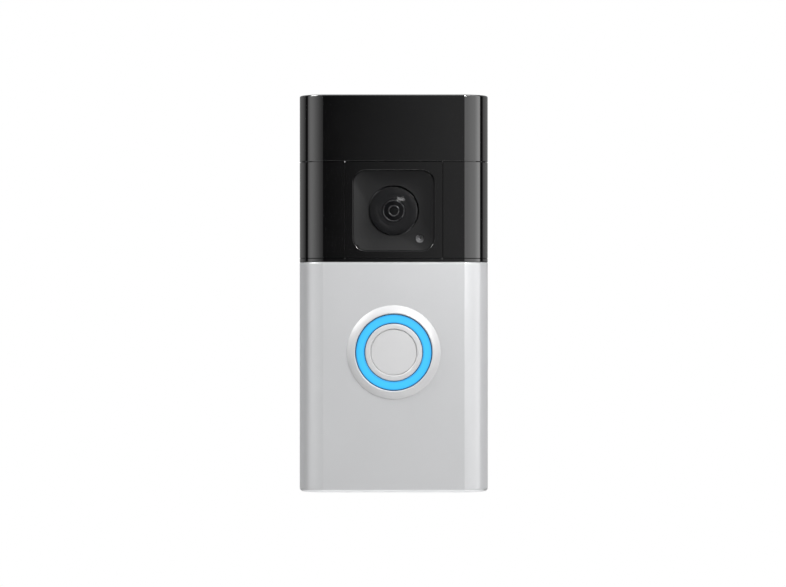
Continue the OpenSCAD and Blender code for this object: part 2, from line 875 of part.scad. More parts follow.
module battery_end_cap() {
    grip_r = 9;
    color("#1c1c1e") difference() {
        prism_z(pack_cap_z, pack_z[0]) pack_section();
        rod_z(grip_r, 0, pack_d[0] + 6, pack_cap_z - cut, pack_cap_z + 1);
    }
}

module battery_cells() {
    color("#3f7fb8") for (s = SIDES)
        rod_z(cell_d / 2, s * cell_pitch / 2, cell_mid_d, cell_z, cell_z + cell_h);
}

module cell_straps() {
    color("#c3c3c5") for (z = [cell_z - strap_t, cell_z + cell_h])
        block([-12, cell_mid_d - 3, z], [12, cell_mid_d + 3, z + strap_t]);
}

module battery_board() {
    z0 = cell_z + cell_h + 0.5;
    color("#1f5a3a") block([-17.4, 4.7, z0], [17.4, 17.2, z0 + 1]);
}

module battery_contacts() {
    z0 = cell_z + cell_h + 1.5;
    color("#d4af37") for (x = contact_xs)
        block([x - 1, contact_d - 2, z0], [x + 1, contact_d + 2, pack_z[1] + 0.05]);
}

module charge_port() {
    z0 = cell_z + cell_h + 1.5;
    color("#b4b4b6") difference() {
        block([11.2, 8.7, z0], [16.8, 14.3, pack_z[1]]);
        block([12, 9.5, z0 + 0.4], [16, 13.5, pack_z[1] + cut]);
    }
}

// Lever that a thumb presses to free the pack, with its pivot stubs
module battery_latch() {
    color("#d8681c") {
        block([latch_x[0], latch_d[0], latch_z[0]], [latch_x[1], latch_d[1], latch_z[1]]);
        rod_x(latch_pin_r, latch_pivot[0], latch_pivot[1], latch_x[0] - 0.8, latch_x[1] + 0.5);
    }
}

// ---- security screw ----

module screw_insert() {
    color("#c8a24a") difference() {
        rod_z(insert_metal_r, 0, screw_d, insert_metal_z[0], insert_metal_z[1]);
        rod_z(screw_r + screw_clear, 0, screw_d, insert_metal_z[0] - cut, insert_metal_z[1] + cut);
    }
}

module security_washer() {
    color("#b5b5b7") difference() {
        rod_z(screw_head_r, 0, screw_d, screw_washer_z[0], screw_washer_z[1]);
        rod_z(screw_r + screw_clear, 0, screw_d, screw_washer_z[0] - cut, screw_washer_z[1] + cut);
    }
}

// Screw with a six-lobe socket and a centre pin
module security_screw() {
    socket_r = 0.85;
    color("#8f8f92") difference() {
        union() {
            rod_z(screw_head_r, 0, screw_d, screw_head_z[0], screw_head_z[1]);
            rod_z(screw_r, 0, screw_d, screw_head_z[1] - 0.1, screw_tip_z);
        }
        difference() {
            union() {
                rod_z(socket_r, 0, screw_d, screw_head_z[0] - cut, screw_head_z[0] + 0.5);
                for (a = [0:60:300]) translate([0, -screw_d, 0]) rotate([0, 0, a])
                    rod_z(0.28, socket_r, 0, screw_head_z[0] - cut, screw_head_z[0] + 0.5);
            }
            rod_z(0.3, 0, screw_d, screw_head_z[0] - 2, screw_head_z[0] + cut);
        }
    }
}

rear_housing();
front_frame();
main_seal();
chassis_screws();
cover_screws();
top_cover();
camera_surround();
camera_bezel();
lens_window();
lens_barrel();
front_element();
rear_element();
lens_holder();
ir_filter();
image_sensor();
camera_board();
ir_leds();
microphone();
pir_sensor();
pir_lens();
main_board();
shield_can();
wifi_module();
antenna();
speaker_frame();
speaker_cone();
speaker_magnet();
battery_connector();
contact_pins();
terminal_block();
terminal_plates();
screw_insert();
button_board();
tact_switch();
button_leds();
light_guide();
button_seal();
flex_cable();
setup_switch();
button_cap();
button_disc();
setup_button();
faceplate_upper();
faceplate_lower();
button_trim();
battery_case();
battery_end_cap();
battery_cells();
cell_straps();
battery_board();
battery_contacts();
charge_port();
battery_latch();
security_washer();
security_screw();
terminal_clamp_left();
terminal_screw_left();
terminal_clamp_right();
terminal_screw_right();
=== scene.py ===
"""Looks of the battery video doorbell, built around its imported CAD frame.

Points are [x, depth, z] in millimetres until place() turns them into metres in the shared frame;
depth is the distance from the wall, along -Y.
"""

import json
import math

import bmesh
import bpy
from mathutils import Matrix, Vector


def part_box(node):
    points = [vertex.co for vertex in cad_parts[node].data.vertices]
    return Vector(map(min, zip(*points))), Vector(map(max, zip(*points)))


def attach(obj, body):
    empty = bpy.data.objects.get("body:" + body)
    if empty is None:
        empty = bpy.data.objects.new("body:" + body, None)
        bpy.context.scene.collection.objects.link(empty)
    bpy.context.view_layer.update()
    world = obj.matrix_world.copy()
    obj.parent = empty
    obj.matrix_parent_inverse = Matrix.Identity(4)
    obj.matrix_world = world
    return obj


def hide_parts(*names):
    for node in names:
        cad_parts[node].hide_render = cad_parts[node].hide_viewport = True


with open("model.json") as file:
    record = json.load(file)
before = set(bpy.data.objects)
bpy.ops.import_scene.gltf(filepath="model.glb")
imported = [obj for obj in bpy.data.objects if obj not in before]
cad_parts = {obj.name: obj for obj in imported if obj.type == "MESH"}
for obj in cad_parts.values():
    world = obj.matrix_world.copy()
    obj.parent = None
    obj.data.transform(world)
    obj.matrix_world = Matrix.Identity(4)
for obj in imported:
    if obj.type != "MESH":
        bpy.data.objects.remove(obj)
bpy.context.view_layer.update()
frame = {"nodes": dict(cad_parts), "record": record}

MM = 0.001
NODES = frame["nodes"]
BODY_OF = {n: b for b, ns in frame["record"]["behaviour"]["bodies"].items() for n in ns}
SLOT_OF = {p["node"]: p["material_slot"] for p in frame["record"]["subparts"]}


def reach(node):
    """Lowest and highest x, depth and z of a CAD node, in millimetres."""
    lo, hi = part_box(node)
    return (lo.x / MM, -hi.y / MM, lo.z / MM), (hi.x / MM, -lo.y / MM, hi.z / MM)


# ---- sizes ----

COVER_LO, COVER_HI = reach("top_cover")
PLATE_LO, PLATE_HI = reach("faceplate_lower")
INSERT_LO, INSERT_HI = reach("camera_surround")
BEZEL_LO, BEZEL_HI = reach("camera_bezel")
WINDOW_LO, WINDOW_HI = reach("lens_window")
TRIM_LO, TRIM_HI = reach("button_trim")
GUIDE_LO, GUIDE_HI = reach("light_guide")
CAP_LO, CAP_HI = reach("button_cap")
DISC_LO, DISC_HI = reach("button_disc")

# Covers. The round corners' arc would crest a little past the flat front, so they meet at a crease.
GAP = 0.2
SEAM_EDGE = 0.1
SHARP = 0.01
WALL = 1.6
CORNER_R = 9.7
CREST = 0.2
NOTCH_PLAY = 0.1
HALF_W = COVER_HI[0]
FRONT = COVER_HI[1]
REAR = COVER_LO[1]
TOP = COVER_HI[2]
SEAM_HI = COVER_LO[2]
SEAM_LO = SEAM_HI - GAP
SPLIT = PLATE_HI[2]
BOTTOM = PLATE_LO[2]
CORNER_X = HALF_W - CORNER_R
CORNER_D = FRONT + CREST - CORNER_R

# Camera and call button.
LENS_Z = (WINDOW_LO[2] + WINDOW_HI[2]) / 2
INSERT_Z = (INSERT_LO[2] + INSERT_HI[2]) / 2
BUTTON_Z = (CAP_LO[2] + CAP_HI[2]) / 2
MIC_X = 8.4
MIC_Z = LENS_Z - 9.0
MIC_R = 1.36
ELEMENT_D = 23.5
BARREL_BACK = reach("lens_barrel")[0][1]
GUIDE_R = 12.15
HALO_PLAY = 0.2
FINE = 192

# Meshes: edges that turn by fewer degrees than this are shaded smooth, and points closer than
# this, in metres, are merged.
SMOOTH_BELOW = 30.0
MERGE = 1e-7


# ---- mesh helpers ----

def place(point):
    """Point in metres, in the shared frame, from [x, depth, z] in millimetres."""
    x, depth, z = point
    return Vector((x * MM, -depth * MM, z * MM))


def as_object(name, mesh_data, sharp=SMOOTH_BELOW, creases=()):
    """Object from a bmesh: doubles merged, normals out, smooth apart from sharp edges."""
    bmesh.ops.remove_doubles(mesh_data, verts=mesh_data.verts, dist=MERGE)
    bmesh.ops.dissolve_degenerate(mesh_data, edges=mesh_data.edges, dist=MERGE)
    bmesh.ops.recalc_face_normals(mesh_data, faces=mesh_data.faces)
    mesh = bpy.data.meshes.new(name)
    mesh_data.to_mesh(mesh)
    mesh_data.free()
    made = bpy.data.objects.new(name, mesh)
    bpy.context.scene.collection.objects.link(made)
    smooth(made, sharp, creases)
    return made


def smooth(made, sharp=SMOOTH_BELOW, creases=()):
    """Smooth shading with sharp edges above an angle, and along vertical creases at given x."""
    work = bmesh.new()
    work.from_mesh(made.data)
    least_crease = math.radians(6)
    near = 0.12
    for face in work.faces:
        face.smooth = True
    for edge in work.edges:
        if len(edge.link_faces) == 2:
            turn = edge.calc_face_angle(0.0)
            at_crease = turn > least_crease and any(
                abs(abs(v.co.x) / MM - x) < near for v in edge.verts for x in creases)
            edge.smooth = not (turn > math.radians(sharp) or at_crease)
    work.to_mesh(made.data)
    work.free()


def loft(name, rings, closed=False, sharp=SMOOTH_BELOW, creases=()):
    """Skin through rings of equal length; open lofts get end caps, closed ones join up."""
    work = bmesh.new()
    rows = [[work.verts.new(place(p)) for p in ring] for ring in rings]
    count = len(rings[0])
    pairs = list(zip(rows, rows[1:])) + ([(rows[-1], rows[0])] if closed else [])
    for low, high in pairs:
        for i in range(count):
            j = (i + 1) % count
            work.faces.new((low[i], low[j], high[j], high[i]))
    if not closed:
        work.faces.new(rows[0][::-1])
        work.faces.new(rows[-1])
    return as_object(name, work, sharp, creases)


def turned(name, profile, x, z, steps=144, sharp=SMOOTH_BELOW):
    """Closed profile of (radius, depth) points turned about the depth axis through x, z."""
    rings = []
    for i in range(steps):
        a = 2 * math.pi * i / steps
        rings.append([(x + r * math.cos(a), d, z + r * math.sin(a)) for r, d in profile])
    return loft(name, rings, closed=True, sharp=sharp)


def turned_up(name, profile, x, depth, steps=64, sharp=SMOOTH_BELOW):
    """Closed profile of (radius, z) points turned about a vertical axis."""
    rings = []
    for i in range(steps):
        a = 2 * math.pi * i / steps
        rings.append([(x + r * math.cos(a), depth + r * math.sin(a), z) for r, z in profile])
    return loft(name, rings, closed=True, sharp=sharp)


def box_piece(name, lo, hi):
    """Box between two corners."""
    work = bmesh.new()
    made = bmesh.ops.create_cube(work, size=1.0)
    mid = [(a + b) / 2 for a, b in zip(lo, hi)]
    for v in made["verts"]:
        v.co = place([m + c * (b - a) for m, c, a, b in zip(mid, v.co, lo, hi)])
    return as_object(name, work)


def combine(made, others, operation):
    """Boolean of a piece with helper meshes, which are then removed."""
    for other in others:
        step = made.modifiers.new("step", "BOOLEAN")
        step.operation = operation
        step.solver = "EXACT"
        step.object = other
    graph = bpy.context.evaluated_depsgraph_get()
    result = bpy.data.meshes.new_from_object(made.evaluated_get(graph))
    made.modifiers.clear()
    old = made.data
    made.data = result
    bpy.data.meshes.remove(old)
    for other in others:
        data = other.data
        bpy.data.objects.remove(other)
        bpy.data.meshes.remove(data)
    return made


def carve(made, cutters, sharp=SMOOTH_BELOW, creases=()):
    """Cuts helper meshes out of a piece."""
    combine(made, cutters, "DIFFERENCE")
    smooth(made, sharp, creases)
    return made


def weld(made, parts, sharp=SMOOTH_BELOW, creases=()):
    """Joins helper meshes onto a piece."""
    combine(made, parts, "UNION")
    smooth(made, sharp, creases)
    return made


def arc(cx, cy, r, a0, a1, steps):
    """Points of an arc, angles in degrees."""
    out = []
    for i in range(steps + 1):
        a = math.radians(a0 + (a1 - a0) * i / steps)
        out.append((cx + r * math.cos(a), cy + r * math.sin(a)))
    return out


def insert_angles():
    """Directions from the insert's centre, closer together at its four corners."""
    even = 176
    near = 0.3
    corner = math.degrees(math.atan2(INSERT_HI[2] - INSERT_LO[2], INSERT_HI[0] - INSERT_LO[0]))
    out = [360.0 * i / even for i in range(even)]
    for middle in (corner, 180 - corner, 180 + corner, 360 - corner):
        out += [middle + near * k for k in range(-8, 9)]
    return sorted(set(round(a, 3) for a in out))


def polar_rect(w, h, r):
    """Outline of a rounded rectangle, sampled at the insert's angles."""
    out = []
    for angle in insert_angles():
        a = math.radians(angle)
        out.append(ray_to_rect(math.cos(a), math.sin(a), w / 2, h / 2, r))
    return out


def ray_to_rect(c, s, half_x, half_z, r):
    """Where a ray from the centre leaves a rounded rectangle."""
    t = min(half_x / abs(c) if c else 1e9, half_z / abs(s) if s else 1e9)
    x, z = abs(c) * t, abs(s) * t
    if x > half_x - r and z > half_z - r:
        px, pz = half_x - r, half_z - r
        along = abs(c) * px + abs(s) * pz
        t = along + math.sqrt(max(along * along - (px * px + pz * pz - r * r), 0.0))
        x, z = abs(c) * t, abs(s) * t
    return math.copysign(x, c), math.copysign(z, s)


# ---- cover sections ----

def skin(inset, rear_soft=0.5):
    """Outer edge of the covers' section, from the left rear corner to the right one."""
    r = CORNER_R - inset
    side = HALF_W - inset
    rise = math.degrees(math.acos((FRONT - inset - CORNER_D) / r))
    right = [(side, CORNER_D)] + arc(CORNER_X, CORNER_D, r, 0, 90 - rise, 30)[1:]
    rear = arc(side - rear_soft, REAR + rear_soft, rear_soft, -90, 0, 5)
    half = rear + [(side, (REAR + CORNER_D) / 2)] + right
    return [(-x, d) for x, d in half] + [(x, d) for x, d in reversed(half)]


def hollow_section(inset):
    """Closed C-shaped section: outer edge inset from the surface, inner edge at the wall."""
    inner = skin(WALL, SHARP)
    return skin(inset) + [(x, d) for x, d in reversed(inner)]


def lap_section(inset):
    """Section of the thin lip behind the seam between the two gloss covers."""
    back = WALL + 0.7
    return skin(inset, SHARP) + [(x, d) for x, d in reversed(skin(back, SHARP))]


def creases():
    """Height along x where the round corners meet the flat front."""
    return (CORNER_X + math.sqrt(CORNER_R ** 2 - (FRONT - CORNER_D) ** 2),)


def shell(name, levels, section=hollow_section):
    """Cover through (z, inset) levels."""
    rings = [[(x, d, z) for x, d in section(inset)] for z, inset in levels]
    return loft(name, rings, creases=creases())


def rounded_edge(z, r, steps=6):
    """Levels of an upper edge of radius r that ends at height z."""
    out = []
    for i in range(steps + 1):
        a = math.pi / 2 * i / steps
        out.append((z - r * (1 - math.sin(a)), r * (1 - math.cos(a))))
    return out


# ---- finishing ----

def done(made, nodes, slot, body=None):
    """Material from the slot's finish, body and replaced nodes of a finished piece."""
    nodes = [nodes] if isinstance(nodes, str) else nodes
    made.data.materials.clear()
    made.data.materials.append(FINISH[slot])
    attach(made, body or BODY_OF[nodes[0]])
    if nodes:
        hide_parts(*nodes)
    return made


def soften(made, width):
    """Small rounded edges, and normals that keep flat faces flat."""
    sharper_than = 40.0
    bevel = made.modifiers.new("edges", "BEVEL")
    bevel.width = width * MM
    bevel.segments = 2
    bevel.limit_method = "ANGLE"
    bevel.angle_limit = math.radians(sharper_than)
    bevel.harden_normals = False
    keep_flat(made)


def keep_flat(made):
    """Normals weighted by area, so that narrow rounded edges don't bend flat faces."""
    normals = made.modifiers.new("normals", "WEIGHTED_NORMAL")
    normals.keep_sharp = True
    normals.weight = 60


# ---- materials ----

def node(tree, kind, **values):
    """New shader node; a value is set on the input of that name, or on the node itself."""
    made = tree.nodes.new("ShaderNode" + kind)
    for key, value in values.items():
        if key in made.inputs:
            made.inputs[key].default_value = value
        else:
            setattr(made, key, value)
    return made


def tone(colour, factor):
    """Lighter or darker colour, with full alpha."""
    return tuple(min(max(c * factor, 0.0), 1.0) for c in colour) + (1.0,)


def ramp(tree, source, stops):
    """Colour along a 0-1 socket, through (position, colour) stops."""
    made = node(tree, "ValToRGB")
    marks = made.color_ramp.elements
    for mark, (at, colour) in ((marks[0], stops[0]), (marks[1], stops[-1])):
        mark.position = at
        mark.color = colour
    for at, colour in stops[1:-1]:
        marks.new(at).color = colour
    tree.links.new(source, made.inputs["Fac"])
    return made.outputs["Color"]


def grey(value):
    """Opaque grey."""
    return (value, value, value, 1)


def map_range(tree, source, lo, hi, to_lo=0.0, to_hi=1.0):
    """Socket remapped from one range to another."""
    made = node(tree, "MapRange")
    made.inputs["From Min"].default_value = lo
    made.inputs["From Max"].default_value = hi
    made.inputs["To Min"].default_value = to_lo
    made.inputs["To Max"].default_value = to_hi
    tree.links.new(source, made.inputs["Value"])
    return made.outputs["Result"]


def overlay(tree, factor, colour):
    """Lays a second colour over the base colour of a finish, by a factor socket."""
    base = tree.nodes["Principled BSDF"].inputs["Base Color"]
    under = base.links[0].from_socket
    mix = node(tree, "Mix")
    mix.data_type = "RGBA"
    mix.inputs["B"].default_value = colour + (1.0,)
    tree.links.new(factor, mix.inputs["Factor"])
    tree.links.new(under, mix.inputs["A"])
    tree.links.new(mix.outputs["Result"], base)


def grain_noise(tree, scale, detail=3.0, stretch=(1, 1, 1)):
    """Noise in object space; scale is in cells per metre."""
    coords = node(tree, "TexCoord")
    turn = node(tree, "Mapping")
    turn.inputs["Scale"].default_value = stretch
    noise = node(tree, "TexNoise", Scale=scale, Detail=detail)
    tree.links.new(coords.outputs["Object"], turn.inputs["Vector"])
    tree.links.new(turn.outputs["Vector"], noise.inputs["Vector"])
    return noise


def finish(name, colour, rough, metal=0.0, grain=900.0, depth=0.004, spread=0.05, tint=0.12,
           stretch=(1, 1, 1), blotch=45.0, **sockets):
    """Procedural finish: grain as bump and roughness, and a slow change of tone.

    depth is the height of the grain in millimetres.
    """
    mat = bpy.data.materials.new(name)
    mat.use_nodes = True
    tree = mat.node_tree
    shader = tree.nodes["Principled BSDF"]
    shader.inputs["Metallic"].default_value = metal
    for key, value in sockets.items():
        shader.inputs[key.replace("_", " ")].default_value = value
    fine = grain_noise(tree, grain, stretch=stretch)
    slow = grain_noise(tree, blotch, detail=4.0)
    shade = ramp(tree, slow.outputs["Fac"], [(0.35, tone(colour, 1 - tint)),
                                             (0.68, tone(colour, 1 + tint))])
    tree.links.new(shade, shader.inputs["Base Color"])
    rub = map_range(tree, fine.outputs["Fac"], 0.3, 0.7, max(rough - spread, 0.0), rough + spread)
    tree.links.new(rub, shader.inputs["Roughness"])
    bump = node(tree, "Bump")
    bump.inputs["Strength"].default_value = 1.0
    bump.inputs["Distance"].default_value = depth * MM
    tree.links.new(fine.outputs["Fac"], bump.inputs["Height"])
    tree.links.new(bump.outputs["Normal"], shader.inputs["Normal"])
    return mat


def banded(mat, wave_scale, amount, direction, colour):
    """Adds fine parallel bands, such as copper tracks or winding, over a finish."""
    tree = mat.node_tree
    coords = node(tree, "TexCoord")
    wave = node(tree, "TexWave", Scale=wave_scale, Distortion=0.0)
    wave.bands_direction = direction
    tree.links.new(coords.outputs["Object"], wave.inputs["Vector"])
    bands = ramp(tree, wave.outputs["Fac"], [(0.45, grey(0.0)), (0.6, grey(amount))])
    overlay(tree, bands, colour)
    return mat


def board(name, colour, track):
    """Circuit board: cells of solder mask with lighter tracks between them."""
    mat = finish(name, colour, 0.38, grain=2500, depth=0.002, tint=0.1)
    tree = mat.node_tree
    coords = node(tree, "TexCoord")
    cells = node(tree, "TexVoronoi", Scale=420.0)
    cells.distance = "MANHATTAN"
    cells.feature = "F1"
    tree.links.new(coords.outputs["Object"], cells.inputs["Vector"])
    tracks = ramp(tree, cells.outputs["Distance"], [(0.62, grey(0.0)), (0.66, grey(0.8))])
    overlay(tree, tracks, track)
    return mat


def glowing(name):
    """Halo light guide: lit blue, deeper towards its two edges."""
    mat = finish(name, (0.01, 0.09, 0.17), 0.45, grain=1500, depth=0.003, tint=0.06)
    tree = mat.node_tree
    shader = tree.nodes["Principled BSDF"]
    coords = node(tree, "TexCoord")
    shift = node(tree, "Mapping")
    shift.inputs["Location"].default_value = (0, 0, -BUTTON_Z * MM)
    shift.inputs["Scale"].default_value = (1, 0, 1)
    length = node(tree, "VectorMath", operation="LENGTH")
    tree.links.new(coords.outputs["Object"], shift.inputs["Vector"])
    tree.links.new(shift.outputs["Vector"], length.inputs[0])
    across = map_range(tree, length.outputs["Value"], (CAP_HI[0] + HALO_PLAY) * MM, GUIDE_R * MM)
    glow = ramp(tree, across, [(0.0, (0.015, 0.22, 0.55, 1)), (0.22, (0.04, 0.5, 0.93, 1)),
                               (0.8, (0.035, 0.48, 0.9, 1)), (1.0, (0.015, 0.2, 0.5, 1))])
    tree.links.new(glow, shader.inputs["Emission Color"])
    shader.inputs["Emission Strength"].default_value = 0.95
    return mat


# Finish of each material slot.
FINISH = {
    "cover_gloss_black": finish("gloss_black", (0.002, 0.002, 0.0022), 0.05, grain=160,
                                depth=0.0006, spread=0.02, tint=0.2, IOR=2.5),
    "face_silver": finish("satin_silver", (0.69, 0.695, 0.705), 0.31, metal=0.46, grain=4200,
                          depth=0.00015, spread=0.03, tint=0.012),
    "button_silver": finish("button_silver", (0.52, 0.52, 0.525), 0.48, metal=0.2, grain=4200,
                            depth=0.0004, spread=0.035, tint=0.012),
    "recess_black": finish("recess_black", (0.0045, 0.0045, 0.0048), 0.5, grain=3600, depth=0.006,
                           spread=0.08, tint=0.1, IOR=1.3),
    "housing_black": finish("housing_black", (0.022, 0.022, 0.024), 0.55, grain=2600,
                            depth=0.010, spread=0.1, tint=0.15),
    "frame_black": finish("frame_black", (0.03, 0.03, 0.033), 0.5, grain=2200, depth=0.008,
                          spread=0.1, tint=0.15),
    "seal_rubber": finish("seal_rubber", (0.05, 0.05, 0.052), 0.75, grain=1800, depth=0.008,
                          spread=0.08),
    "screw_steel": finish("screw_steel", (0.55, 0.55, 0.56), 0.3, metal=1.0, grain=2600,
                          depth=0.003, spread=0.08, tint=0.08),
    "lens_glass": finish("lens_glass", (0.004, 0.004, 0.005), 0.06, grain=300, depth=0.0,
                         spread=0.015, tint=0.03, Alpha=0.35, IOR=2.0),
    "element_glass": finish("element_glass", (0.008, 0.008, 0.009), 0.08, grain=300, depth=0.0,
                            spread=0.02, tint=0.1, IOR=1.55),
    "optics_black": finish("optics_black", (0.02, 0.02, 0.021), 0.5, grain=2400,
                           depth=0.002, spread=0.08, tint=0.2),
    "sensor_grey": finish("sensor_grey", (0.11, 0.11, 0.113), 0.45, metal=0.3, grain=3000,
                          depth=0.001, spread=0.05),
    "board_green": board("board_green", (0.012, 0.09, 0.045), (0.05, 0.2, 0.09)),
    "led_white": finish("led_white", (0.72, 0.7, 0.6), 0.35, grain=2500, depth=0.002,
                        spread=0.06, tint=0.05),
    "can_metal": finish("can_metal", (0.62, 0.62, 0.63), 0.32, metal=1.0, grain=900,
                        depth=0.003, spread=0.1, tint=0.06, stretch=(1, 1, 12)),
    "pir_white": finish("pir_white", (0.7, 0.7, 0.7), 0.5, grain=1200, depth=0.006,
                        spread=0.06, tint=0.04),
    "contact_gold": finish("contact_gold", (0.75, 0.52, 0.2), 0.3, metal=1.0, grain=3000,
                           depth=0.0006, spread=0.08, tint=0.06),
    "speaker_black": banded(finish("speaker_black", (0.03, 0.03, 0.035), 0.6, grain=1500,
                                   depth=0.01, spread=0.1), 120.0, 0.5, "Z", (0.06, 0.06, 0.07)),
    "magnet_metal": finish("magnet_metal", (0.42, 0.42, 0.43), 0.35, metal=1.0, grain=700,
                           depth=0.003, spread=0.1),
    "connector_black": finish("connector_black", (0.02, 0.02, 0.021), 0.45, grain=2000,
                              depth=0.006, spread=0.08, tint=0.15),
    "halo_blue": glowing("halo_blue"),
    "flex_amber": banded(finish("flex_amber", (0.45, 0.17, 0.03), 0.35, grain=900, depth=0.002,
                                spread=0.06), 380.0, 0.6, "X", (0.62, 0.32, 0.1)),
    "tab_orange": finish("tab_orange", (0.8, 0.22, 0.02), 0.45, grain=2200, depth=0.006,
                         spread=0.08, tint=0.06),
    "pack_black": finish("pack_black", (0.028, 0.028, 0.03), 0.5, grain=2400, depth=0.009,
                         spread=0.1, tint=0.15),
    "cell_wrap": banded(finish("cell_wrap", (0.03, 0.16, 0.34), 0.28, grain=500, depth=0.003,
                               spread=0.08, tint=0.1), 20.0, 0.25, "Z", (0.05, 0.22, 0.42)),
}


# ---- covers ----

def top_cover():
    """Upper gloss cover: closed top, open behind and below, with its two screw posts."""
    top_edge = 0.5
    levels = [(SEAM_HI, SEAM_EDGE), (SEAM_HI + SEAM_EDGE, 0.0)] + rounded_edge(TOP, top_edge)
    cover = shell("top_cover_skin", levels, skin)
    carve(cover, [top_cover_room()], creases=creases())
    weld(cover, [screw_post(side) for side in (-1, 1)], creases=creases())
    keep_flat(cover)
    return done(cover, "top_cover", "cover_gloss_black")


def top_cover_room():
    """Room inside the upper cover, which runs out through its open back and foot."""
    rear_part = CORNER_D - 4
    rings = []
    for z in (SEAM_HI - 1, TOP - WALL):
        rings.append([(x, REAR - 1 if d < rear_part else d, z) for x, d in skin(WALL, SHARP)])
    return loft("hollow", rings)


def screw_post(side):
    """Post inside the upper cover that takes a screw from behind."""
    post_x = 26.0
    post_z = 57.0
    bore = 1.15
    bore_end = 13.5
    outer = 2.4
    foot = 6.3
    profile = [(bore, foot), (outer, foot), (outer, CORNER_D + 4), (bore, bore_end)]
    return turned("post", profile, side * post_x, post_z, steps=48)


def faceplate_upper():
    """Gloss part of the faceplate: a groove near its foot, a notch for the camera insert."""
    foot_edge = 0.12
    groove = 11.3
    groove_half = 0.14
    groove_deep = 0.16
    levels = [(SPLIT, foot_edge), (SPLIT + foot_edge, 0.0), (groove - groove_half, 0.0),
              (groove, groove_deep), (groove + groove_half, 0.0),
              (SEAM_LO - SEAM_EDGE, 0.0), (SEAM_LO, SEAM_EDGE)]
    plate = shell("faceplate_upper_skin", levels)
    weld(plate, [seam_lap()], creases=creases())
    carve(plate, [insert_notch()], creases=creases())
    weld(plate, faceplate_back_parts(), creases=creases())
    keep_flat(plate)
    return done(plate, "faceplate_upper", "cover_gloss_black")


def seam_lap():
    """Lip that closes the seam from behind, a little clear of the upper cover."""
    foot = SEAM_LO - 1.5
    step = SEAM_LO - 0.02
    tip = SEAM_HI + 0.9
    buried = WALL - 0.03
    clear = WALL + 0.12
    return shell("lap", [(foot, buried), (step, buried), (step, clear), (tip, clear)], lap_section)


def insert_notch():
    """Cutter for the camera insert's notch, wider at its softened front edge."""
    half = INSERT_HI[0] + NOTCH_PLAY
    low = INSERT_LO[2] - NOTCH_PLAY
    high = SEAM_LO + 3
    soft = 0.08
    rings = []
    for d, grow in ((20.0, 0.0), (FRONT - soft, 0.0), (FRONT + 0.01, soft + 0.01),
                    (FRONT + 2, soft)):
        rings.append([(-half - grow, d, low - grow), (half + grow, d, low - grow),
                      (half + grow, d, high), (-half - grow, d, high)])
    return loft("mouth", rings)


def faceplate_back_parts():
    """Strip below the notch, and the two hooks with their tongues beside it."""
    back = FRONT - WALL - 1
    front = FRONT - WALL + 0.02
    tongue_front = FRONT - WALL - 0.3
    strip_foot = 4.1
    strip_top = INSERT_LO[2] - 2 * NOTCH_PLAY
    hook_foot = 37.0
    hook_x = (17.0, 20.5)
    tongue_foot = 38.0
    parts = [box_piece("strip", (-CORNER_X, back, strip_foot), (CORNER_X, front, strip_top))]
    for side in (-1, 1):
        x0, x1 = sorted(side * x for x in hook_x)
        parts.append(box_piece("hook", (x0, back, hook_foot), (x1, front, SEAM_LO - 0.1)))
        parts.append(box_piece("tongue", (x0, back, tongue_foot), (x1, tongue_front, SEAM_LO + 1.5)))
    return parts


def lip_section(inset):
    """Section through the bottom lip: outer edge as above it, a square opening inside."""
    half = 22.0
    deep = 22.5
    inner = [(min(max(x, -half), half), min(d, deep)) for x, d in skin(WALL, SHARP)]
    return skin(inset) + inner[::-1]


def faceplate_lower():
    """Satin part of the faceplate, with its rounded foot and the lip below the battery."""
    foot_edge = 1.1
    top_edge = 0.45
    lip_top = -61.8
    foot = [(2 * BOTTOM - z, inset) for z, inset in rounded_edge(BOTTOM, foot_edge, 8)][::-1]
    levels = [(z, inset, lip_section) for z, inset in foot]
    levels.append((lip_top, 0.0, lip_section))
    levels.append((lip_top, 0.0, hollow_section))
    levels += [(z, inset, hollow_section) for z, inset in rounded_edge(SPLIT, top_edge)]
    rings = [[(x, d, z) for x, d in section(inset)] for z, inset, section in levels]
    plate = loft("faceplate_lower_skin", rings, creases=creases())
    carve(plate, [button_hole(), security_screw_room()], creases=creases())
    keep_flat(plate)
    return done(plate, "faceplate_lower", "face_silver")


def button_hole():
    """Cutter for the round hole that takes the trim's neck."""
    r = 13.5
    back = 20.0
    front = FRONT + 1
    return turned("hole", [(0.0, back), (r, back), (r, front), (0.0, front)], 0, BUTTON_Z)


def security_screw_room():
    """Cutter for the opening in the lip around the security screw."""
    r = 2.5
    foot = BOTTOM - 1
    top = -62.5
    depth = 21.5
    profile = [(0.0, foot), (r, foot), (r, top), (0.0, top)]
    return turned_up("screw_room", profile, 0, depth)


# ---- camera ----

def camera_surround():
    """Gloss insert around the camera recess."""
    width = INSERT_HI[0] - INSERT_LO[0] + 0.1
    height = INSERT_HI[2] - INSERT_LO[2] + 0.18
    corner = 0.16
    lift = 0.04
    outer_edge = 0.08
    hole_w = 26.3
    hole_h = 26.1
    hole_corner = 4.2
    edge = 0.09
    steps = 4
    back = INSERT_LO[1]

    def outer(inset, d):
        outline = polar_rect(width - 2 * inset, height - 2 * inset, corner)
        return [(x, d, z + INSERT_Z + lift) for x, z in outline]

    def inner(grow, d):
        outline = polar_rect(hole_w + 2 * grow, hole_h + 2 * grow, hole_corner + grow)
        return [(x, d, z + LENS_Z) for x, z in outline]

    rings = [outer(0, back), outer(0, FRONT - outer_edge), outer(outer_edge, FRONT),
             inner(edge + 0.01, FRONT), inner(edge, FRONT)]
    for i in range(1, steps + 1):
        a = math.pi / 2 * i / steps
        rings.append(inner(edge * (1 - math.sin(a)), FRONT - edge * (1 - math.cos(a))))
    rings.append(inner(0, back))
    piece = loft("camera_surround_frame", rings, closed=True)
    keep_flat(piece)
    return done(piece, "camera_surround", "cover_gloss_black")


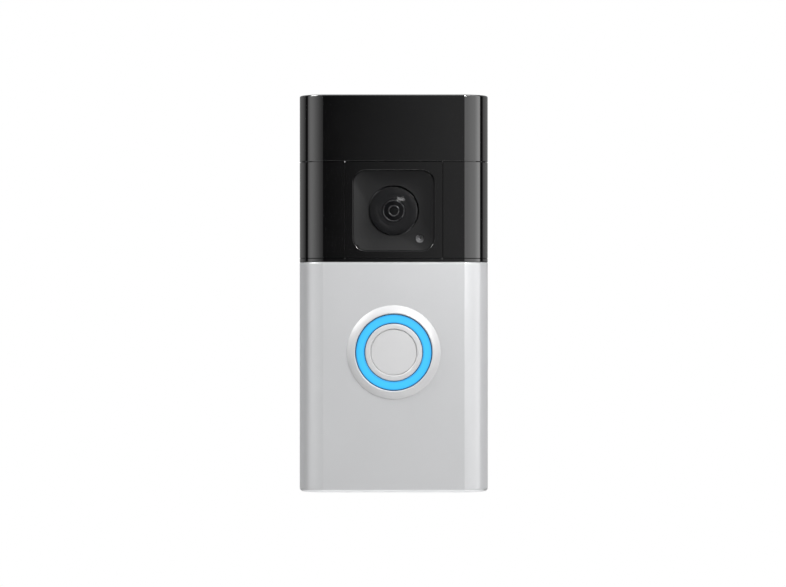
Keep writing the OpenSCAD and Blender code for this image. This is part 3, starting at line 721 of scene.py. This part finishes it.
def camera_bezel():
    """Matte floor of the recess: dished edge, window hole and the microphone's hole."""
    width = min(BEZEL_HI[0] - BEZEL_LO[0], 26.0)
    height = min(BEZEL_HI[2] - BEZEL_LO[2], 25.8)
    corner = 4.1
    floor_d = BEZEL_HI[1]
    back = BEZEL_LO[1]
    rim_rise = 0.75
    rim_edge = 0.05
    dish = 4.8
    dish_power = 1.6
    steps = 12
    hole = WINDOW_HI[0] + 0.28
    hole_edge = 0.06

    def rect(inset, d):
        outline = polar_rect(width - 2 * inset, height - 2 * inset, corner + 0.55 * inset)
        return [(x, d, z + LENS_Z) for x, z in outline]

    def circle(r, d):
        angles = [math.radians(angle) for angle in insert_angles()]
        return [(r * math.cos(a), d, r * math.sin(a) + LENS_Z) for a in angles]

    rings = [rect(0, back), rect(0, floor_d + rim_rise - rim_edge),
             rect(rim_edge, floor_d + rim_rise)]
    for i in range(1, steps + 1):
        t = i / steps
        rings.append(rect(rim_edge + dish * t, floor_d + rim_rise * (1 - t) ** dish_power))
    rings += [circle(hole + hole_edge, floor_d), circle(hole, floor_d - hole_edge),
              circle(hole, back)]
    piece = loft("camera_bezel_dish", rings, closed=True, sharp=50)
    carve(piece, [mic_hole(back - 1, floor_d + 1)], sharp=40)
    keep_flat(piece)
    return done(piece, "camera_bezel", "recess_black")


def mic_hole(back, front):
    """Cutter for the microphone's hole."""
    profile = [(0, back), (MIC_R, back), (MIC_R, front), (0, front)]
    return turned("mic_cut", profile, MIC_X, MIC_Z, steps=48)


def mic_funnel():
    """Lining of the microphone's countersink, deepest towards its upper right side."""
    floor_d = BEZEL_HI[1]
    back = floor_d - 1.6
    outer = MIC_R - 0.02
    bore = 0.74
    lean = 0.38
    steps = 60

    def circle(r, d, off):
        angles = [2 * math.pi * i / steps for i in range(steps)]
        return [(MIC_X + off + r * math.cos(a), d, MIC_Z + off + r * math.sin(a)) for a in angles]

    rings = [circle(outer, back, 0), circle(outer, floor_d - 0.04, 0),
             circle(outer - 0.04, floor_d, 0), circle(bore + 0.05, floor_d - 0.72, lean),
             circle(bore, floor_d - 0.8, lean), circle(bore, back, lean)]
    piece = loft("mic_funnel_lining", rings, closed=True)
    return done(piece, [], "sensor_grey", body="housing")


def lens_window():
    """Domed glass window."""
    r = WINDOW_HI[0] - 0.15
    crown = WINDOW_HI[1]
    back = WINDOW_LO[1]
    back_edge = 0.1
    dome = 36.0
    steps = 16
    profile = [(0, back), (r - back_edge, back), (r, back + back_edge)]
    for i in range(steps + 1):
        x = r * (1 - i / steps)
        profile.append((x, crown - (dome - math.sqrt(dome * dome - x * x))))
    piece = turned("lens_window_glass", profile, 0, LENS_Z, sharp=45)
    return done(piece, "lens_window", "lens_glass")


def lens_barrel():
    """Lens barrel with its flange, a skirt under the bezel and one light step."""
    tube = [(2.2, BARREL_BACK), (5.2, BARREL_BACK), (5.2, 22.8)]
    skirt = [(8.4, 22.8), (8.4, 23.3), (7.7, 23.3)]
    flange = [(7.7, 24.0), (7.2, 24.07), (6.6, 24.12), (5.3, 24.14), (5.1, 24.08), (4.9, 24.08)]
    mouth = [(3.86, 24.08), (3.74, 24.0), (3.7, 23.8), (3.66, 20.0), (2.2, 20.0)]
    piece = turned("lens_barrel_turned", tube + skirt + flange + mouth, 0, LENS_Z, sharp=25)
    return done(piece, "lens_barrel", "optics_black")


def front_element():
    """Front of the lens: black glass steps and the small dome in the middle."""
    middle_d = ELEMENT_D - 0.2
    pupil_d = ELEMENT_D - 0.4
    dome_top = ELEMENT_D - 0.1
    dome_half = 0.84
    dome_r = 1.3
    steps = 8
    profile = [(0, 21.7), (3.62, 21.7), (3.62, ELEMENT_D), (2.1, ELEMENT_D), (2.06, middle_d),
               (1.14, middle_d), (1.1, pupil_d), (0.86, pupil_d)]
    for i in range(steps + 1):
        x = dome_half * (1 - i / steps)
        profile.append((x, dome_top - (dome_r - math.sqrt(dome_r * dome_r - x * x))))
    piece = turned("front_element_glass", profile, 0, LENS_Z, sharp=50)
    return done(piece, "front_element", "element_glass")


def lens_rims():
    """Retaining rims on the front of the lens."""
    for name, radius, base, half in (("lens_rim_outer", 3.34, ELEMENT_D, 0.2),
                                     ("lens_rim_inner", 1.62, ELEMENT_D - 0.2, 0.22)):
        piece = turned(name, arc(radius, base, half, 0, 180, 8), 0, LENS_Z)
        done(piece, [], "magnet_metal", body="housing")


# ---- call button ----

def button_trim():
    """Raised trim: a narrow crest, then a convex slope out to the plate."""
    inner = 12.4
    neck = 13.4
    outer = TRIM_HI[0]
    crest = TRIM_HI[1]
    foot = FRONT + 0.12
    crest_width = 0.3
    steps = 12
    profile = [(inner, TRIM_LO[1]), (neck, TRIM_LO[1]), (neck, FRONT), (outer, FRONT),
               (outer, foot)]
    for i in range(1, steps + 1):
        t = i / steps
        rise = (crest - foot) * t * (1.5 - 0.5 * t)
        profile.append((outer - (outer - inner - crest_width) * t, foot + rise))
    profile += [(inner + 0.2, crest - 0.01), (inner + 0.06, crest - 0.08), (inner, crest - 0.25)]
    piece = turned("button_trim_band", profile, 0, BUTTON_Z, steps=FINE, sharp=38)
    return done(piece, "button_trim", "button_silver")


def light_guide():
    """Halo light guide on four legs that reach back beside the button board."""
    inner = CAP_HI[0] + HALO_PLAY
    front = GUIDE_HI[1]
    back = 24.9
    near = 0.06
    edge = 0.2
    profile = [(inner, back), (GUIDE_R, back), (GUIDE_R, front - edge),
               (GUIDE_R - near, front - near), (GUIDE_R - edge, front), (inner + edge, front),
               (inner + near, front - near), (inner, front - edge)]
    piece = turned("light_guide_halo", profile, 0, BUTTON_Z, steps=FINE)
    weld(piece, [light_guide_leg(middle, back + 0.1) for middle in (45, 135, 225, 315)])
    keep_flat(piece)
    return done(piece, "light_guide", "halo_blue")


def light_guide_leg(middle, front):
    """Curved leg of the light guide, centred on an angle in degrees."""
    inner = GUIDE_R - 0.5
    outer = GUIDE_R - 0.01
    half = 9
    foot = arc(0, BUTTON_Z, inner, middle - half, middle + half, 8)
    foot += arc(0, BUTTON_Z, outer, middle + half, middle - half, 8)
    return loft("leg", [[(x, d, z) for x, z in foot] for d in (GUIDE_LO[1], front)])


def button_cap():
    """Silver cap with a rounded rim and the pocket for its disc."""
    r = CAP_HI[0]
    front = CAP_HI[1]
    back = 25.9
    stem = 1.2
    edge = 0.35
    steps = 5
    pocket = 7.4
    pocket_floor = back + 0.7
    profile = [(0, CAP_LO[1]), (stem, CAP_LO[1]), (stem, back), (r, back), (r, front - edge)]
    for i in range(1, steps + 1):
        a = math.pi / 2 * i / steps
        profile.append((r - edge * (1 - math.cos(a)), front - edge * (1 - math.sin(a))))
    profile += [(pocket + 0.3, front), (pocket, front - 0.28), (pocket, pocket_floor),
                (0, pocket_floor)]
    piece = turned("button_cap_shell", profile, 0, BUTTON_Z, steps=FINE)
    keep_flat(piece)
    return done(piece, "button_cap", "button_silver")


def button_disc():
    """Disc set into the cap."""
    r = DISC_HI[0]
    front = DISC_HI[1]
    near = 0.04
    edge = 0.12
    profile = [(0, DISC_LO[1]), (r, DISC_LO[1]), (r, front - edge), (r - near, front - near),
               (r - edge, front), (0, front)]
    piece = turned("button_disc_face", profile, 0, BUTTON_Z, steps=FINE)
    keep_flat(piece)
    return done(piece, "button_disc", "button_silver")


PIECES = (top_cover, faceplate_upper, faceplate_lower, camera_surround, camera_bezel, mic_funnel,
          lens_window, lens_barrel, front_element, lens_rims, button_trim, light_guide,
          button_cap, button_disc)
for build in PIECES:
    build()


# ---- CAD nodes that stay ----

def carried_over():
    """Finish and softened edges for every CAD node that still shows."""
    edge = 0.12
    flat_within = 0.8
    for name, made in NODES.items():
        made.data.materials.clear()
        made.data.materials.append(FINISH[SLOT_OF[name]])
        merge = made.modifiers.new("merge", "WELD")
        merge.merge_threshold = 1e-6
        plane = made.modifiers.new("planes", "DECIMATE")
        plane.decimate_type = "DISSOLVE"
        plane.angle_limit = math.radians(flat_within)
        soften(made, edge)


carried_over()


# ---- room, light and camera ----

FLOOR_Z = -0.2
FLOOR_RADII = (0.02, 0.1, 0.18, 0.27)
FLOOR_STEPS = 96

# Brightness of the room by direction: degrees from the front, positive towards +X, and value.
SIDES = (
    (-180, 0.25), (-125, 0.21), (-108, 0.1), (-103, 0.01), (-93, 0.01), (-88, 0.29), (-76, 0.44),
    (-65, 0.4), (-52, 0.28), (-40, 0.18), (-27, 0.08), (-18, 0.02), (-1.6, 0.0), (1.6, 0.08),
    (16, 0.045), (23, 0.04), (24, 0.35), (36, 0.37), (50, 0.44), (68, 0.5), (84, 0.8), (93, 0.8),
    (95, 0.01), (109, 0.01), (113, 0.18), (125, 0.22), (180, 0.25))
SOFTBOX = 2.0

# Share of that brightness by height: 0 is straight down, 0.5 level and 1 straight up.
HEIGHTS = ((0.0, 0.04), (0.43, 0.07), (0.475, 0.85), (0.5, 0.95), (0.6, 1.0), (0.8, 1.0),
           (1.0, 0.9))

# Light from above, by the same height.
OVERHEAD_RISE = ((0.0, 0.0), (0.75, 0.0), (0.81, 1.0), (1.0, 1.0))
OVERHEAD = 1.25

# Name, place, aim, size and watts of each lamp, in metres.
LAMPS = (
    ("lens_spot", (0.129, -1.05, 0.273), (0, -0.02, 0.02), (0.14, 0.07), 0.13),
    ("key", (0.62, -0.85, 1.0), (0, -0.02, 0.0), (0.7, 0.5), 2.0),
    ("near_right", (0.146, -0.3, 0.155), (0, -0.026, 0.0), (0.07, 0.05), 1.2),
    ("left_fill", (-0.7, -0.25, 0.6), (0, -0.02, 0.0), (0.4, 0.3), 5.2))

CAMERA_LENS = 135.4
CAMERA_AWAY = 0.95
CAMERA_X = -0.00024


def floor():
    """Plain pale floor, below the lowest point that the battery reaches."""
    work = bmesh.new()
    rows = []
    for r in FLOOR_RADII:
        rows.append([work.verts.new((r * math.cos(2 * math.pi * i / FLOOR_STEPS),
                                     r * math.sin(2 * math.pi * i / FLOOR_STEPS), FLOOR_Z))
                     for i in range(FLOOR_STEPS)])
    work.faces.new(rows[0])
    for low, high in zip(rows, rows[1:]):
        for i in range(FLOOR_STEPS):
            j = (i + 1) % FLOOR_STEPS
            work.faces.new((low[i], low[j], high[j], high[i]))
    made = as_object("studio_floor", work)
    made.data.materials.append(finish("floor_paper", (0.86, 0.86, 0.86), 0.8, grain=60,
                                      depth=0.02, spread=0.05, tint=0.01))


def grey_ramp(tree, source, stops):
    """Value along a 0-1 socket, through (position, value) stops."""
    return ramp(tree, source, [(at, grey(value)) for at, value in stops])


def math_node(tree, operation, a, b=None):
    """Math node on numbers or sockets."""
    made = node(tree, "Math", operation=operation)
    for i, value in enumerate((a, b)):
        if value is None:
            continue
        if isinstance(value, (int, float)):
            made.inputs[i].default_value = value
        else:
            tree.links.new(value, made.inputs[i])
    return made.outputs["Value"]


def directions(tree):
    """Compass direction and height of the looking direction, each from 0 to 1."""
    coords = node(tree, "TexCoord")
    split = node(tree, "SeparateXYZ")
    tree.links.new(coords.outputs["Generated"], split.inputs["Vector"])
    x, y, z = (split.outputs[k] for k in "XYZ")
    turn = math_node(tree, "ARCTAN2", x, math_node(tree, "MULTIPLY", y, -1.0))
    around = math_node(tree, "ADD", math_node(tree, "DIVIDE", turn, 2 * math.pi), 0.5)
    tilt = math_node(tree, "ARCSINE", z)
    rise = math_node(tree, "ADD", math_node(tree, "DIVIDE", tilt, math.pi), 0.5)
    return around, rise


def room_brightness(tree):
    """Brightness by direction: the sides by height, plus the light from above."""
    around, rise = directions(tree)
    sides = grey_ramp(tree, around, [(0.5 + degrees / 360.0, v) for degrees, v in SIDES])
    heights = grey_ramp(tree, rise, HEIGHTS)
    overhead = grey_ramp(tree, rise, OVERHEAD_RISE)
    level = math_node(tree, "MULTIPLY", math_node(tree, "MULTIPLY", sides, heights), SOFTBOX)
    return math_node(tree, "ADD", level, math_node(tree, "MULTIPLY", overhead, OVERHEAD))


def studio_world():
    """White backdrop for the camera, and a soft room of light by direction for all else."""
    world = bpy.data.worlds.new("studio")
    world.use_nodes = True
    bpy.context.scene.world = world
    tree = world.node_tree
    tree.nodes.clear()
    light = node(tree, "Background")
    tree.links.new(room_brightness(tree), light.inputs["Strength"])
    white = node(tree, "Background", Color=(1, 1, 1, 1), Strength=1.0)
    path = node(tree, "LightPath")
    mix = node(tree, "MixShader")
    out = node(tree, "OutputWorld")
    tree.links.new(path.outputs["Is Camera Ray"], mix.inputs["Fac"])
    tree.links.new(light.outputs["Background"], mix.inputs[1])
    tree.links.new(white.outputs["Background"], mix.inputs[2])
    tree.links.new(mix.outputs["Shader"], out.inputs["Surface"])


def lamp(name, place_at, aim, size, watts):
    """Rectangular area light that the camera doesn't see."""
    data = bpy.data.lights.new(name, "AREA")
    data.shape = "RECTANGLE"
    data.size, data.size_y = size
    data.energy = watts
    made = bpy.data.objects.new(name, data)
    bpy.context.scene.collection.objects.link(made)
    made.location = place_at
    made.rotation_euler = (Vector(aim) - Vector(place_at)).to_track_quat("-Z", "Y").to_euler()
    made.visible_camera = False


def camera():
    """Long lens straight at the front, as wide as the picture needs."""
    data = bpy.data.cameras.new("camera")
    data.sensor_width = 36.0
    data.lens = CAMERA_LENS
    data.clip_start = 0.01
    made = bpy.data.objects.new("camera", data)
    bpy.context.scene.collection.objects.link(made)
    made.location = (CAMERA_X, -(FRONT * MM + CAMERA_AWAY), 0.0)
    made.rotation_euler = (math.radians(90), 0, 0)
    bpy.context.scene.camera = made


floor()
studio_world()
for values in LAMPS:
    lamp(*values)
camera()
bpy.context.scene.view_settings.view_transform = "Standard"
